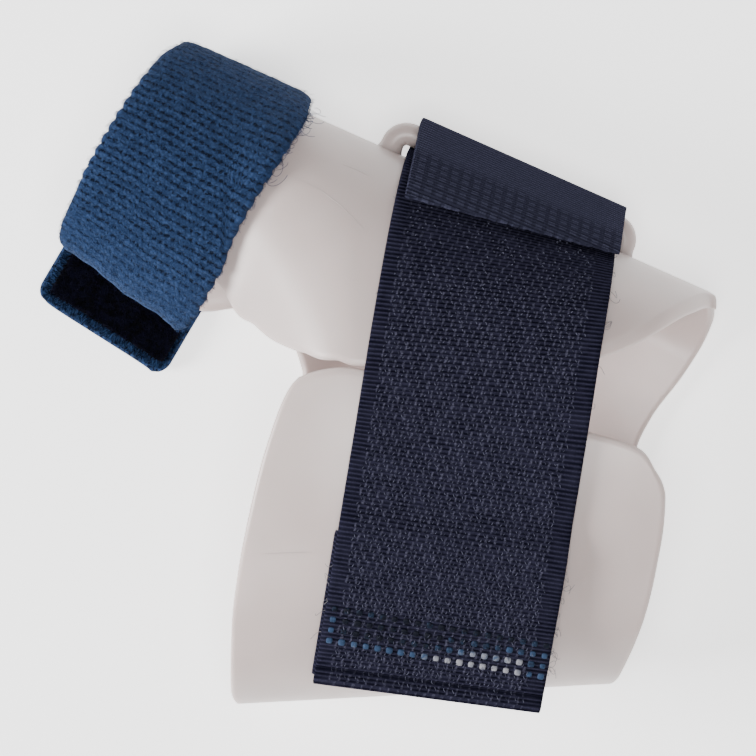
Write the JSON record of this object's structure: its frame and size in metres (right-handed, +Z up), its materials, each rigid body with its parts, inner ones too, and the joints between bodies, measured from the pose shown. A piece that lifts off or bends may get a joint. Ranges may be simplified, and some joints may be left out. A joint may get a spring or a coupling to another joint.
{
  "type": "thumb spica splint",
  "caption": "Moulded hand and thumb shell with a slit, a hook-faced strap round its own bar, and a knitted thumb strap with a hook tab.",
  "frame": {"origin": "on the flat outer face of the back wall, under the middle of the hand", "axes": "+Z up through the slit, +X along the hand towards the wrist, +Y from the little finger's side to the thumb's side"},
  "size_m": [0.1146, 0.1119, 0.0436],
  "materials": {
    "polyethylene": "milky white moulded polyethylene, satin",
    "hook_tape": "dark navy woven tape with rows of hooks and ribbed edges",
    "knit": "blue ribbed elastic knit",
    "hook_patch": "black hook patch"
  },
  "bodies": {
    "root": {"shell": "polyethylene", "hand_strap": "hook_tape", "thumb_strap": "knit", "thumb_hook_patch": "hook_patch"}
  },
  "joints": []
}
